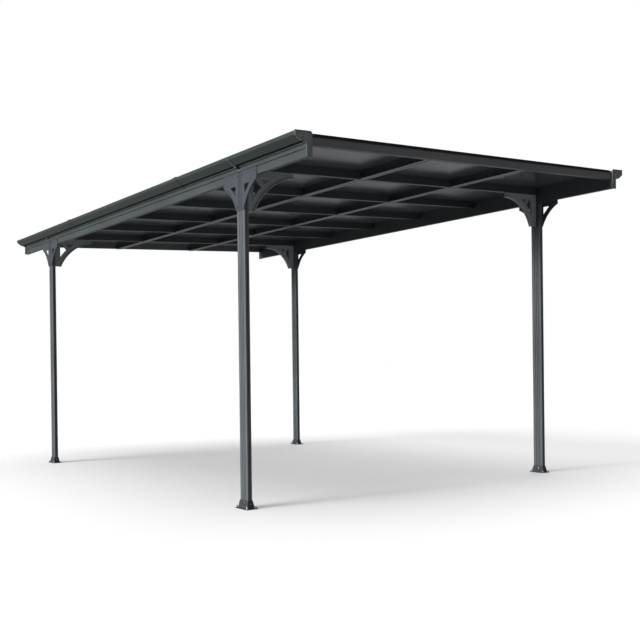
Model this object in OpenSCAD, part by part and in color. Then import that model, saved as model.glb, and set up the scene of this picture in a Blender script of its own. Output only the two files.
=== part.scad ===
/* [Overall] */
// Length of the roof, over the end caps of the two gutter beams
roof_length = 5016; // [4000:2:6500]
// Clear width between the inner faces of the two gutter beams
clear_span = 2802; // [2200:2:3400]
// Clear height under the low gutter beam
low_headroom = 2087; // [1900:1:2600]
// Pitch of the roof, in degrees
roof_pitch = 2.75; // [1:0.25:6]
// Number of roof bays, one panel each
bays = 7; // [5:1:9]

/* [Posts] */
// Width of a post, along the roof
post_w = 91; // [70:1:120]
// Thickness of a post, across the roof
post_t = 30; // [25:1:45]
// Wall of a post
post_wall = 2; // [1.5:0.5:3]
// Width of the flutes down the wide faces of a post
flute_w = 5; // [3:0.5:8]
// Depth of every flute in a post
flute_depth = 1; // [0.5:0.1:1.2]
// Distance of the flutes from the middle of the wide faces
flute_offset = 17; // [10:1:25]

/* [Gutter beams] */
// Height of the lowest band of a beam, which the side brackets lap
band_low = 48; // [40:1:60]
// Height of the middle band of a beam
band_mid = 22; // [16:1:30]
// How far the face steps out from the lowest band to the middle band
step_low = 10; // [9:1:14]
// How far the face steps out from the middle band to the top band
step_mid = 9; // [5:1:14]
// Height and depth of the groove between the middle band and the top band
groove = 3; // [1:0.5:4]
// Wall of the hollow in a beam
beam_wall = 3; // [2:0.5:5]
// Height from the underside of a beam up to the underside of the rafters
rafter_seat = 68; // [60:1:90]
// Gap left where a sloping piece lies on another
seat_gap = 0.1; // [0:0.05:0.3]

/* [Gutters] */
// Outer radius of the gutter
gutter_r = 35; // [30:1:45]
// Slant of the gutter's flat outer bottom, in degrees from level
gutter_slant = 35; // [20:1:50]
// How much that flat cuts off the gutter's round
gutter_cut = 12; // [0:1:15]
// Wall of the gutter
gutter_wall = 2.5; // [2:0.5:4]
// Height from the underside of a beam to the bottom of the gutter
gutter_drop = 80; // [76:1:90]
// Height of the gutter's front lip above the middle of its round
lip_h = 20; // [16:1:30]
// Radius of the bead along the lip
bead_r = 3.5; // [2.5:0.5:5]

/* [End caps] */
// Thickness of an end cap
cap_t = 4; // [3:0.5:8]
// How far a cap stands proud round the beam and the gutter
cap_lap = 2; // [1:0.5:4]
// Radius of the inner top corner of a cap
cap_corner_r = 16; // [8:1:25]
// Radius of the outer top corner of a cap
cap_lip_r = 6; // [3:1:10]
// How far the inner top corner of a cap rises above the gutter's lip and the lap
cap_rise = 7; // [6:1:16]

/* [Gutter clips] */
// Width of a clip, along the gutter
clip_w = 26; // [18:1:40]
// Thickness of the strap of a clip
clip_t = 2.5; // [2:0.5:4]
// Gap between a strap and the gutter's round
clip_gap = 0.3; // [0.2:0.1:0.5]

/* [Rafters] */
// Width of a rafter
rafter_w = 36; // [30:1:50]
// Height of a rafter, from its underside to the panels
rafter_h = 58; // [40:1:75]
// Height of the rear fascia, from its underside to the panels
rear_h = 50; // [30:1:60]
// Wall of a rafter
rafter_wall = 2.5; // [2:0.5:4]
// Width of the ledge on a rafter, on which the panels rest
ledge_w = 62; // [54:1:80]
// Thickness of that ledge
ledge_t = 3; // [2:0.5:5]
// Distance from the outer face of a cap to the face of a fascia
end_setback = 15; // [12:1:60]

/* [Purlins] */
// Distance from the middle of the roof to each row of purlins
purlin_x = 440; // [300:5:700]
// Width of the web box of a purlin
purlin_w = 40; // [30:1:60]
// Width of the foot flange of a purlin
purlin_flange_w = 58; // [50:1:80]
// Thickness of that flange
purlin_flange_t = 4; // [2:0.5:6]
// Length of the slots in the flanks of a purlin
slot_l = 22; // [10:1:40]
// Height of those slots
slot_h = 8; // [4:0.5:12]
// Distance from one slot to the next
slot_pitch = 90; // [60:5:150]

/* [Panels and bars] */
// Thickness of a roof panel
panel_t = 6; // [4:0.5:10]
// Overhang of the panels past the outer face of a beam
panel_overhang = 24; // [10:1:35]
// Clear gap between two neighbouring panels
panel_gap = 12; // [8:1:20]
// Width of a glazing bar over the panels
bar_w = 56; // [40:1:75]
// Thickness of a glazing bar
bar_t = 4; // [3:0.5:8]
// Gap from the spine of a glazing bar to the panels
bar_clear = 0.5; // [0.3:0.1:1]
// Height of the edge trim that shows above a fascia
trim_face = 12; // [8:1:20]
// Thickness of the edge trim
trim_t = 2.5; // [2:0.5:4]

/* [Side brackets] */
// Reach of each arm along the beam, from the middle of the post
arm_reach = 200; // [160:1:260]
// Height of a side bracket below the beam
arm_drop = 195; // [140:1:260]
// Height of the end of an arm below the beam
arm_toe = 27; // [10:1:40]
// Rise of the curved lower edge above a straight line
arm_sag = 22; // [10:1:40]
// Thickness of the bracket's plate
bracket_t = 5; // [3:0.5:7]
// Extra thickness of the rim along its curved edges
rim_t = 3; // [1:0.5:5]
// Width of that rim
rim_w = 9; // [6:1:16]
// Longer side of the three-cornered opening in an arm
arm_opening = 62; // [30:1:80]
// Radius of the corners of the openings
opening_r = 4; // [2:0.5:8]

/* [Inner braces] */
// Reach of a brace along the rafter, from the post
brace_reach = 372; // [300:2:450]
// Height of a brace below the beam
brace_drop = 195; // [160:1:240]
// Width of its foot, on the post
brace_foot = 66; // [50:1:80]
// Depth of its tip, under the rafter
brace_toe = 37; // [20:1:45]
// Rise of its curved lower edge above a straight line, under a level roof
brace_sag = 56; // [40:1:64]
// Thickness of its web
brace_t = 8; // [5:1:14]
// Width of the flange along its curved edge
brace_flange_w = 34; // [26:1:60]
// Thickness of that flange
brace_flange_t = 7; // [4:0.5:12]
// Width of the band between the post and the tall opening
brace_post_band = 60; // [45:1:66]
// Width of the band between the rafter and the openings
brace_top_band = 43; // [25:1:50]
// Width of the arm between the openings and the curved edge
brace_arm_band = 46; // [35:1:52]
// Width of the strut that parts the two openings
strut_w = 32; // [20:1:40]
// Distance of that strut from the post, level with the underside of the beam
strut_x = 119; // [110:1:135]
// Lean of that strut, in degrees from level
strut_lean = 52; // [45:1:60]
// Width of the raised rims round the openings
brace_rim_w = 6; // [3:0.5:8]
// Thickness of the brace over those rims
brace_rim_t = 18; // [14:1:24]

/* [Feet] */
// Length of a base plate, along the roof
plate_l = 142; // [136:1:200]
// Width of a base plate, across the roof
plate_w = 82; // [76:1:120]
// Thickness of a base plate
plate_t = 5; // [3:0.5:10]
// Diameter of the anchor holes
anchor_d = 9; // [7:0.5:13]
// Distance from an anchor hole to the edges of its plate
anchor_edge = 8.5; // [8:0.5:14]
// Height of the shoe round the foot of a post
shoe_h = 50; // [45:1:100]
// Height of its straight skirt
skirt_h = 8; // [6:1:25]
// Wall of the shoe at its top
shoe_wall = 2.5; // [2:0.5:4]
// How far the skirt flares out past the post
skirt_flare = 11; // [7:0.5:12]
// Gap between a post and its shoe
shoe_gap = 0.3; // [0.2:0.1:0.5]
// Height above the base plate of the arched windows in the four flanks of a shoe
arch_z = 24; // [18:1:30]
// Radius of the arched windows in the wide flanks
arch_r = 14; // [10:1:16]
// Radius of the arched windows in the narrow flanks
arch_narrow_r = 8; // [5:0.5:10]

/* [Hidden] */
SIDES = [-1, 1];
ENDS = [-1, 1];
side_names = ["low", "high"];
end_names = ["front", "rear"];

slope = tan(roof_pitch);
inner_x = clear_span / 2;
beam_length = roof_length - 2 * cap_t;
face_low = post_t;
face_mid = face_low + step_low;
face_top = face_mid + step_mid;
mid_top = band_low + band_mid;
gutter_u = face_top + gutter_r;
gutter_v = gutter_drop + gutter_r;
lip_v = gutter_v + lip_h;
roof_z = low_headroom + rafter_seat + inner_x * slope;
rafter_end = roof_length / 2 - end_setback - rafter_w / 2;
bay = 2 * rafter_end / bays;
post_y = rafter_end - bay;
panel_reach = (inner_x + face_top + panel_overhang) / cos(roof_pitch);
purlin_web_h = rafter_h - purlin_flange_t;
anchor_x = plate_w / 2 - anchor_edge;
anchor_y = plate_l / 2 - anchor_edge;
bracket_top = band_low - 0.5;
far = 4 * roof_length;

// Heights of the underside of a beam, of the rafters and of the panels
function beam_z(side) = roof_z + side * inner_x * slope - rafter_seat;
function rafter_z(x) = roof_z + x * slope;
function panel_z(x) = rafter_z(x) + rafter_h / cos(roof_pitch);
function rafter_y(i) = -rafter_end + i * bay;

// Centre and radius of the arc from a to b that rises by sag above its chord
function arc_radius(a, b, sag) = (pow(norm(b - a) / 2, 2) + sag * sag) / (2 * sag);
function arc_centre(a, b, sag) =
    let (along = (b - a) / norm(b - a), away = [along[1], -along[0]])
    (a + b) / 2 + away * (arc_radius(a, b, sag) - sag);

frame_colour = [0.27, 0.29, 0.30];
shade_colour = [0.17, 0.19, 0.20];
panel_colour = [0.13, 0.16, 0.17, 0.85];
trim_colour = [0.06, 0.06, 0.07];

// Draws a section in the plane across the roof and runs it along the roof
module along_roof(length) {
    rotate([90, 0, 0]) linear_extrude(length, center = true) children();
}

// Places a section, drawn outward and upward, at the beam on one side
module at_beam(side) {
    translate([side * inner_x, beam_z(side)]) mirror([side < 0 ? 1 : 0, 0]) children();
}

// Places what is drawn upward from the underside of the rafters
module on_roof() {
    translate([0, 0, roof_z]) rotate([0, -roof_pitch, 0]) children();
}

module block(width, length, height) {
    translate([-width / 2, -length / 2, 0]) cube([width, length, height]);
}

// A post: a fluted hollow box that stands on its base plate
module post(side, end) {
    x = side * (inner_x + post_t / 2);
    color(frame_colour)
    translate([x, end * post_y, plate_t])
    linear_extrude(beam_z(side) - plate_t)
    difference() {
        square([post_t, post_w], center = true);
        square([post_t - 2 * post_wall, post_w - 2 * post_wall], center = true);
        for (s = SIDES, t = [-1, 0, 1])
            translate([s * post_t / 2, t * flute_offset])
            square([2 * flute_depth, flute_w], center = true);
        for (s = SIDES)
            translate([0, s * post_w / 2])
            square([flute_w, 2 * flute_depth], center = true);
    }
}

// The outside of a shoe: a straight skirt, then four sloping flanks
module shoe_flanks(width, length) {
    half = width / 2;
    top = half - skirt_flare + shoe_wall;
    rotate([90, 0, 0]) linear_extrude(length, center = true)
    polygon([[-half, 0], [half, 0], [half, skirt_h], [top, shoe_h], [-top, shoe_h], [-half, skirt_h]]);
}

// What an arched window takes out of both flanks that face along x
module shoe_window(radius) {
    rotate([90, 0, 90]) linear_extrude(far, center = true)
    intersection() {
        translate([0, plate_t + arch_z]) circle(radius, $fn = 48);
        translate([-radius, plate_t + arch_z]) square([2 * radius, radius]);
    }
}

// A foot: a base plate with four anchor holes and a shoe with windows round the post
module foot(side, end) {
    flare = 2 * skirt_flare;
    color(shade_colour)
    translate([side * (inner_x + post_t / 2), end * post_y, 0])
    difference() {
        union() {
            block(plate_w, plate_l, plate_t);
            translate([0, 0, plate_t])
            intersection() {
                shoe_flanks(post_t + flare, far);
                rotate([0, 0, 90]) shoe_flanks(post_w + flare, far);
            }
        }
        translate([0, 0, plate_t]) block(post_t + 2 * shoe_gap, post_w + 2 * shoe_gap, far);
        shoe_window(arch_r);
        rotate([0, 0, 90]) shoe_window(arch_narrow_r);
        for (sx = SIDES, sy = ENDS)
            translate([sx * anchor_x, sy * anchor_y, -1])
            cylinder(h = plate_t + 2, d = anchor_d, $fn = 48);
    }
}

// Half of a side bracket, right of the post's middle line and from its foot up
module bracket_half() {
    foot_pt = [post_w / 2, -arm_drop];
    end_pt = [arm_reach, -arm_toe];
    difference() {
        polygon([[0, -arm_drop], foot_pt, end_pt, [arm_reach, bracket_top], [0, bracket_top]]);
        translate(arc_centre(foot_pt, end_pt, arm_sag))
        circle(arc_radius(foot_pt, end_pt, arm_sag), $fn = 180);
    }
}

// The rim of that half, a band along its curved edge
module bracket_rim() {
    foot_pt = [post_w / 2, -arm_drop];
    end_pt = [arm_reach, -arm_toe];
    intersection() {
        bracket_half();
        translate(arc_centre(foot_pt, end_pt, arm_sag))
        circle(arc_radius(foot_pt, end_pt, arm_sag) + rim_w, $fn = 180);
    }
}

// A three-cornered opening with its right angle at a corner, rounded by its own circles
module corner_opening(size) {
    inset = opening_r * (1 + sqrt(2));
    low = opening_r * (1 + 1 / sqrt(2));
    high = size - inset + opening_r / sqrt(2);
    for (p = [[opening_r, opening_r], [size - inset, opening_r], [opening_r, size - inset]])
        translate(p) circle(opening_r, $fn = 32);
    polygon([
        [opening_r, 0], [size - inset, 0], [high, low], [low, high], [0, size - inset], [0, opening_r]
    ]);
}

// A side bracket: a plate with two curved arms, over the post and the beam
module bracket(side, end) {
    color(frame_colour)
    translate([side * (inner_x + post_t), end * post_y, beam_z(side)])
    rotate([90, 0, side * 90])
    for (s = SIDES)
        mirror([s < 0 ? 1 : 0, 0, 0]) {
            linear_extrude(bracket_t)
            difference() {
                bracket_half();
                translate([post_w / 2 + rim_w, -arm_toe - rim_w])
                mirror([0, 1]) corner_opening(arm_opening);
            }
            translate([0, 0, bracket_t]) linear_extrude(rim_t) bracket_rim();
        }
}

// The outline of an inner brace, drawn inward from the post and up from the beam's underside
module brace_outline(foot_pt, end_pt, tip_v) {
    polygon([[0, -brace_drop], foot_pt, end_pt, [brace_reach, tip_v], [0, rafter_seat - seat_gap]]);
}

// The two openings of a brace, each larger by grow on every side
module brace_openings(centre, radius, tip_v, grow) {
    left = brace_post_band - grow;
    band = brace_top_band - grow;
    difference() {
        polygon([[left, -brace_drop], [brace_reach, tip_v - band], [left, rafter_seat - band]]);
        translate(centre) circle(radius + brace_arm_band - grow, $fn = 180);
        translate([strut_x, 0]) rotate(-strut_lean) square([far, strut_w - 2 * grow], center = true);
    }
}

// An inner brace: a web with a strut, raised rims and a curved flange, from post to rafter
module brace(side, end) {
    rise = -side * slope * brace_reach;
    tip_v = rafter_seat - seat_gap + rise;
    foot_pt = [brace_foot, -brace_drop];
    end_pt = [brace_reach, tip_v - brace_toe];
    chord = end_pt - foot_pt;
    // The middle of the curved edge stays in place, and only its tip follows the slope
    sag = brace_sag - rise / 2 * chord[0] / norm(chord);
    centre = arc_centre(foot_pt, end_pt, sag);
    radius = arc_radius(foot_pt, end_pt, sag);
    color(frame_colour)
    translate([side * inner_x, end * post_y, beam_z(side)])
    mirror([side > 0 ? 1 : 0, 0, 0])
    rotate([90, 0, 0]) {
        linear_extrude(brace_t, center = true)
        difference() {
            brace_outline(foot_pt, end_pt, tip_v);
            translate(centre) circle(radius, $fn = 180);
            brace_openings(centre, radius, tip_v, 0);
        }
        linear_extrude(brace_rim_t, center = true)
        difference() {
            brace_openings(centre, radius, tip_v, brace_rim_w);
            brace_openings(centre, radius, tip_v, 0);
        }
        linear_extrude(brace_flange_w, center = true)
        intersection() {
            brace_outline(foot_pt, end_pt, tip_v);
            difference() {
                translate(centre) circle(radius + brace_flange_t, $fn = 180);
                translate(centre) circle(radius, $fn = 180);
            }
        }
    }
}

// A gutter beam: a hollow box whose face steps out twice, with its top along the panels
module beam(side) {
    top_in = panel_z(side * inner_x) - beam_z(side) - seat_gap;
    top_out = panel_z(side * (inner_x + face_top)) - beam_z(side) - seat_gap;
    hollow_top = min(top_in, top_out) - beam_wall;
    color(frame_colour)
    along_roof(beam_length)
    at_beam(side)
    difference() {
        polygon([
            [0, 0], [face_low, 0], [face_low, band_low], [face_mid, band_low], [face_mid, mid_top],
            [face_mid - groove, mid_top], [face_mid - groove, mid_top + groove],
            [face_top, mid_top + groove], [face_top, top_out], [0, top_in]
        ]);
        translate([beam_wall, beam_wall])
        square([face_low - 2 * beam_wall, hollow_top - beam_wall]);
    }
}

// The section under the middle of the gutter: half a disc of radius r, cut off by the slanted flat
module gutter_half(r) {
    translate([gutter_u, gutter_v])
    intersection() {
        circle(r, $fn = 96);
        translate([-2 * r, -2 * r]) square([4 * r, 2 * r]);
        rotate(gutter_slant) translate([-2 * r, gutter_cut - r]) square(4 * r);
    }
}

// A gutter: an open round channel with a beaded lip, under the ends of the panels
module gutter(side) {
    over_beam = panel_z(side * (inner_x + face_top));
    over_gutter = panel_z(side * (inner_x + face_top + panel_overhang));
    back_top = min(over_beam, over_gutter) - beam_z(side) - 1;
    color(frame_colour)
    along_roof(beam_length)
    at_beam(side) {
        difference() {
            gutter_half(gutter_r);
            gutter_half(gutter_r - gutter_wall);
            translate([0, back_top]) square([gutter_u, far]);
        }
        translate([gutter_u + gutter_r - gutter_wall, gutter_v]) square([gutter_wall, lip_h - bead_r]);
        translate([gutter_u + gutter_r - bead_r, lip_v - bead_r]) circle(bead_r, $fn = 32);
    }
}

// A gutter clip: a strap round the underside of the gutter, with a tab on the beam
module gutter_clip(side) {
    inner_r = gutter_r + clip_gap;
    stub_u = gutter_u - gutter_cut - clip_t;
    arm_v = mid_top - groove - clip_t;
    rise = sqrt(pow(inner_r + clip_t / 2, 2) - pow(gutter_cut + clip_t / 2, 2));
    color(shade_colour)
    along_roof(clip_w)
    at_beam(side) {
        difference() {
            gutter_half(inner_r + clip_t);
            gutter_half(inner_r);
            square([face_top, far]);
        }
        translate([face_mid, band_low + groove]) square([clip_t, band_mid - 2 * groove]);
        translate([face_mid, arm_v]) square([stub_u + clip_t - face_mid, clip_t]);
        translate([stub_u, arm_v]) square([clip_t, gutter_v - rise - arm_v]);
    }
}

// An end cap: a plate over the end of a beam and its gutter
module cap(side, end) {
    r_out = gutter_r + cap_lap;
    edge = gutter_u + r_out;
    top_in = lip_v + cap_lap + cap_rise;
    top_out = top_in + side * slope * (edge + cap_lap);
    color(frame_colour)
    translate([0, end * (roof_length - cap_t) / 2, 0])
    along_roof(cap_t)
    at_beam(side) {
        polygon([
            [-cap_lap, -cap_lap], [face_mid + cap_lap, -cap_lap], [face_mid + cap_lap, mid_top],
            [face_top + cap_lap, mid_top + groove], [edge, gutter_v],
            [edge, top_out - cap_lip_r], [edge - cap_lip_r, top_out],
            [cap_corner_r - cap_lap, top_in], [-cap_lap, top_in - cap_corner_r]
        ]);
        gutter_half(r_out);
        translate([edge - cap_lip_r, top_out - cap_lip_r]) circle(cap_lip_r, $fn = 32);
        translate([cap_corner_r - cap_lap, top_in - cap_corner_r]) circle(cap_corner_r, $fn = 48);
    }
}

// A hollow bar of the roof frame, drawn along the slope and cut plumb at both beams
module roof_bar(height) {
    intersection() {
        on_roof()
        translate([0, 0, rafter_h - height])
        difference() {
            children();
            translate([0, 0, rafter_wall])
            block(far, rafter_w - 2 * rafter_wall, height - 2 * rafter_wall - ledge_t);
        }
        block(clear_span, far, far);
    }
}

// A rafter, with a ledge on both sides for the panels
module rafter(i) {
    color(shade_colour)
    translate([0, rafter_y(i), 0])
    roof_bar(rafter_h) {
        union() {
            block(far, rafter_w, rafter_h);
            translate([0, 0, rafter_h - ledge_t]) block(far, ledge_w, ledge_t);
        }
    }
}

// A fascia closes one end of the roof, with a ledge on its inner side only
module fascia(end, height) {
    reach = (ledge_w - rafter_w) / 2;
    color(frame_colour)
    translate([0, end * rafter_end, 0])
    roof_bar(height) {
        union() {
            block(far, rafter_w, height);
            translate([0, -end * reach / 2, height - ledge_t]) block(far, ledge_w - reach, ledge_t);
        }
    }
}

// One length of purlin, between rafter i and the next, with slots in both flanks
module purlin(side, i) {
    length = bay - rafter_w;
    slots = floor((length - slot_pitch) / slot_pitch);
    web_h = purlin_web_h - ledge_t;
    on_roof()
    translate([side * purlin_x, rafter_y(i) + bay / 2, 0]) {
        block(purlin_flange_w, length, purlin_flange_t);
        translate([0, 0, purlin_flange_t])
        difference() {
            union() {
                block(purlin_w, length, web_h);
                translate([0, 0, web_h]) block(purlin_w, length - (ledge_w - rafter_w), ledge_t);
            }
            translate([0, 0, -1])
            block(purlin_w - 2 * rafter_wall, far, web_h - rafter_wall + 1);
            for (k = [0 : slots])
                translate([0, (k - slots / 2) * slot_pitch, (web_h - slot_h) / 3])
                block(2 * purlin_w, slot_l, slot_h);
        }
    }
}

module purlins(side) {
    color(shade_colour) for (i = [0 : bays - 1]) purlin(side, i);
}

// A roof panel, from the middle of one rafter to the middle of the next
module panel(i) {
    edge = rafter_w / 2 - trim_t;
    y0 = i == 0 ? rafter_y(0) - edge : rafter_y(i) + panel_gap / 2;
    y1 = i == bays - 1 ? rafter_y(bays) + edge : rafter_y(i + 1) - panel_gap / 2;
    color(panel_colour)
    on_roof()
    translate([0, (y0 + y1) / 2, rafter_h]) block(2 * panel_reach, y1 - y0, panel_t);
}

// The glazing bars hold the panels down, each with a spine between two panels
module glazing_bars() {
    color(frame_colour)
    for (i = [1 : bays - 1])
        on_roof()
        translate([0, rafter_y(i), rafter_h]) {
            translate([0, 0, panel_t]) block(2 * panel_reach, bar_w, bar_t);
            block(2 * panel_reach, panel_gap - 2 * bar_clear, panel_t + 0.1);
        }
}

// An edge trim: an angle over the last panel, which closes the end of the roof
module trim(end) {
    top_w = bar_w / 2 + rafter_w / 2;
    reach = (inner_x - cap_corner_r) / cos(roof_pitch);
    color(trim_colour)
    on_roof()
    translate([0, end * (rafter_end + rafter_w / 2), rafter_h]) {
        translate([0, -end * top_w / 2, panel_t]) block(2 * reach, top_w, trim_t);
        translate([0, -end * trim_t / 2, 0]) block(2 * reach, trim_t, panel_t + 0.1);
        translate([0, end * trim_t / 2, panel_t + trim_t - trim_face]) block(2 * reach, trim_t, trim_face);
    }
}

for (s = [0, 1], e = [0, 1]) {
    place = str("_", side_names[s], "_", end_names[e]);
    post(SIDES[s], ENDS[e]);
    foot(SIDES[s], ENDS[e]);
    bracket(SIDES[s], ENDS[e]);
    brace(SIDES[s], ENDS[e]);
    cap(SIDES[s], ENDS[e]);
}
for (s = [0, 1]) {
    beam(SIDES[s]);
    gutter(SIDES[s]);
    purlins(SIDES[s]);
}
for (s = SIDES, e = ENDS) translate([0, e * post_y, 0]) gutter_clip(s);  // gutter_clips
fascia(-1, rafter_h);  // front_fascia
fascia(1, rear_h);  // rear_fascia
for (i = [1 : bays - 1]) rafter(i);
for (i = [1 : bays]) panel(i - 1);
glazing_bars();
trim(-1);  // front_trim
trim(1);  // rear_trim
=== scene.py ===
import math
import random

import bpy
import bmesh
from mathutils import Matrix, Vector


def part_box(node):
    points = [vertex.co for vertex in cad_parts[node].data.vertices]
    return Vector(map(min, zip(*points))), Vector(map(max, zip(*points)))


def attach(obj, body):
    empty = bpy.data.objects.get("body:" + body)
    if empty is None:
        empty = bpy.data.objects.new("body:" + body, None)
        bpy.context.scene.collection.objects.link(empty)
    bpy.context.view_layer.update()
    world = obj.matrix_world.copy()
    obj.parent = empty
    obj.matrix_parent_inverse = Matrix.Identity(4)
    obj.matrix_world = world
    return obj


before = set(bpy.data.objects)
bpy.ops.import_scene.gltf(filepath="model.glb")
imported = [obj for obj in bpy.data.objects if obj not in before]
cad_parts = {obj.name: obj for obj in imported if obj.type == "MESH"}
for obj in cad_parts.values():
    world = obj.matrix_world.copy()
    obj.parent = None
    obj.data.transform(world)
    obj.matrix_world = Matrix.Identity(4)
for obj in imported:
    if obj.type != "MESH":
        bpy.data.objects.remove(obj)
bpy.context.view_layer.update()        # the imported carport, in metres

scene = bpy.context.scene
draw = random.Random(7)
print("frame:", len(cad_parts), "nodes")

# camera

cameraSet = {
    "place": (-4.286, -6.500, 0.900),
    "turn": 36.189,          # degrees to the right of +Y
    "pitch": -0.256,
    "roll": -0.680,
    "lens": 48.83,
    "shiftUp": 0.0779,
}


def addCamera():
    data = bpy.data.cameras.new("camera")
    data.lens = cameraSet["lens"]
    data.sensor_width = 36.0
    data.shift_y = cameraSet["shiftUp"]
    data.clip_end = 200.0
    camera = bpy.data.objects.new("camera", data)
    turn = Matrix.Rotation(-math.radians(cameraSet["turn"]), 4, "Z")
    level = Matrix.Rotation(math.radians(90.0 + cameraSet["pitch"]), 4, "X")
    roll = Matrix.Rotation(math.radians(cameraSet["roll"]), 4, "Z")
    camera.matrix_world = Matrix.Translation(cameraSet["place"]) @ turn @ level @ roll
    scene.collection.objects.link(camera)
    scene.camera = camera


addCamera()
print("camera set")

# where the frame's own pieces are

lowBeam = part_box("beam_low")
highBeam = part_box("beam_high")
innerX = highBeam[0].x                      # inner face of each gutter beam
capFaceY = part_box("cap_high_rear")[1].y      # outer face of the end caps
slope = (highBeam[0].z - lowBeam[0].z) / (2 * innerX)
pitch = math.atan(slope)
rafterNames = ["rafter_%d" % i for i in range(1, 7)]
rafterYs = [(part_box(n)[0].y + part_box(n)[1].y) / 2 for n in rafterNames]
bay = rafterYs[1] - rafterYs[0]
rafterLow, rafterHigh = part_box("rafter_1")
rafterHeight = (rafterHigh.z - rafterLow.z - 2 * innerX * slope) * math.cos(pitch)
roofZ = rafterLow.z + innerX * slope        # underside of the rafters over the middle
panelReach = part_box("panel_4")[1].x / math.cos(pitch)
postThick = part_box("post_high_front")[1].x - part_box("post_high_front")[0].x
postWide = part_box("post_high_front")[1].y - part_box("post_high_front")[0].y
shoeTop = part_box("foot_high_front")[1].z
postY = (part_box("post_high_rear")[0].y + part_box("post_high_rear")[1].y) / 2
roofFrame = Matrix.Translation((0, 0, roofZ)) @ Matrix.Rotation(-pitch, 4, "Y")
barYs = [rafterYs[0] - bay] + rafterYs + [rafterYs[-1] + bay]      # the rafters and both fascias
corners = [(side, end) for side in (-1, 1) for end in (-1, 1)]     # low and high side, front and rear


def beamZ(side):
    return (highBeam if side > 0 else lowBeam)[0].z


def sideFrame(side, y=0.0):
    # local x runs outward from the beam's inner face, local z up from its underside
    flip = Matrix.Diagonal((side, 1, 1, 1))
    return Matrix.Translation((side * innerX, y, beamZ(side))) @ flip


# making meshes

def addPrism(bm, outline, low, high, place):
    # an outline in local x and y, drawn up from low to high
    rows = [[bm.verts.new(place @ Vector((x, y, z))) for x, y in outline] for z in (low, high)]
    bm.faces.new(rows[0][::-1])
    bm.faces.new(rows[1])
    count = len(outline)
    for k in range(count):
        n = (k + 1) % count
        bm.faces.new((rows[0][k], rows[0][n], rows[1][n], rows[1][k]))


def addBlock(bm, low, high, place):
    outline = [(low[0], low[1]), (high[0], low[1]), (high[0], high[1]), (low[0], high[1])]
    addPrism(bm, outline, low[2], high[2], place)


def addLathe(bm, profile, place, steps=24):
    # a profile of (radius, height) turned round local z, with flat sides where it names their count
    rings = []
    for radius, height, *sides in profile:
        ring = []
        for k in range(steps):
            angle = 2 * math.pi * k / steps
            reach = radius
            if sides:
                step = 2 * math.pi / sides[0]
                reach = radius * math.cos(step / 2) / math.cos(angle % step - step / 2)
            point = Vector((reach * math.cos(angle), reach * math.sin(angle), height))
            ring.append(bm.verts.new(place @ point))
        rings.append(ring)
    for lower, upper in zip(rings, rings[1:]):
        for k in range(steps):
            n = (k + 1) % steps
            bm.faces.new((lower[k], lower[n], upper[n], upper[k]))
    bm.faces.new(rings[0][::-1])
    bm.faces.new(rings[-1])


def addBand(bm, outer, inner, low, high, place, closed=True):
    # a band between two loops of equal count, from low to high along local z
    rows = [
        [bm.verts.new(place @ Vector((x, y, z))) for x, y in loop]
        for loop, z in ((outer, low), (outer, high), (inner, high), (inner, low))
    ]
    count = len(outer)
    for k in range(count if closed else count - 1):
        n = (k + 1) % count
        for a, b in ((0, 1), (1, 2), (2, 3), (3, 0)):
            bm.faces.new((rows[a][k], rows[a][n], rows[b][n], rows[b][k]))
    if not closed:
        bm.faces.new([row[0] for row in rows])
        bm.faces.new([row[-1] for row in rows][::-1])


def arcPoints(middle, radius, start, stop, steps):
    turns = [math.radians(start + (stop - start) * k / steps) for k in range(steps + 1)]
    return [(middle[0] + radius * math.cos(a), middle[1] + radius * math.sin(a)) for a in turns]


def offsetPath(path, amount, closed=False):
    # each point moved square to the path, to the right of its direction
    moved = []
    count = len(path)
    for k, point in enumerate(path):
        before = path[k - 1] if closed or k else None
        after = path[(k + 1) % count] if closed or k < count - 1 else None
        normals = []
        for a, b in ((before, point), (point, after)):
            if a is not None and b is not None:
                step = Vector((b[0] - a[0], b[1] - a[1])).normalized()
                normals.append(Vector((step.y, -step.x)))
        mean = sum(normals, Vector((0, 0))).normalized()
        reach = amount / max(0.35, mean.dot(normals[0]))
        moved.append((point[0] + mean.x * reach, point[1] + mean.y * reach))
    return moved


def along(axis, point):
    # a frame at point whose local z runs along axis
    return Matrix.Translation(point) @ Vector(axis).to_track_quat("Z", "Y").to_matrix().to_4x4()


def makePiece(bm, name, material, smooth=None, bevel=0.0):
    bmesh.ops.recalc_face_normals(bm, faces=bm.faces)
    mesh = bpy.data.meshes.new(name)
    bm.to_mesh(mesh)
    bm.free()
    piece = bpy.data.objects.new(name, mesh)
    scene.collection.objects.link(piece)
    mesh.materials.append(material)
    if bevel:
        soften = piece.modifiers.new("soften", "BEVEL")
        soften.width = bevel
        soften.segments = 2
        soften.limit_method = "ANGLE"
        soften.angle_limit = math.radians(40.0)
    if smooth:
        mesh.polygons.foreach_set("use_smooth", [True] * len(mesh.polygons))
        mesh.set_sharp_from_angle(angle=math.radians(smooth))
    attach(piece, "root")


# shader groups

def newGroup(name, inputs, outputs):
    group = bpy.data.node_groups.new(name, "ShaderNodeTree")
    for socketName, kind, value in inputs:
        socket = group.interface.new_socket(socketName, in_out="INPUT", socket_type=kind)
        socket.default_value = value
    for socketName, kind in outputs:
        group.interface.new_socket(socketName, in_out="OUTPUT", socket_type=kind)
    ins = group.nodes.new("NodeGroupInput")
    outs = group.nodes.new("NodeGroupOutput")
    return group, ins, outs


def addNode(tree, kind, values=None, **settings):
    node = tree.nodes.new(kind)
    for key, value in settings.items():
        setattr(node, key, value)
    for key, value in (values or {}).items():
        node.inputs[key].default_value = value
    return node


def wire(tree, *pairs):
    for source, target in pairs:
        tree.links.new(source, target)


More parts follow.
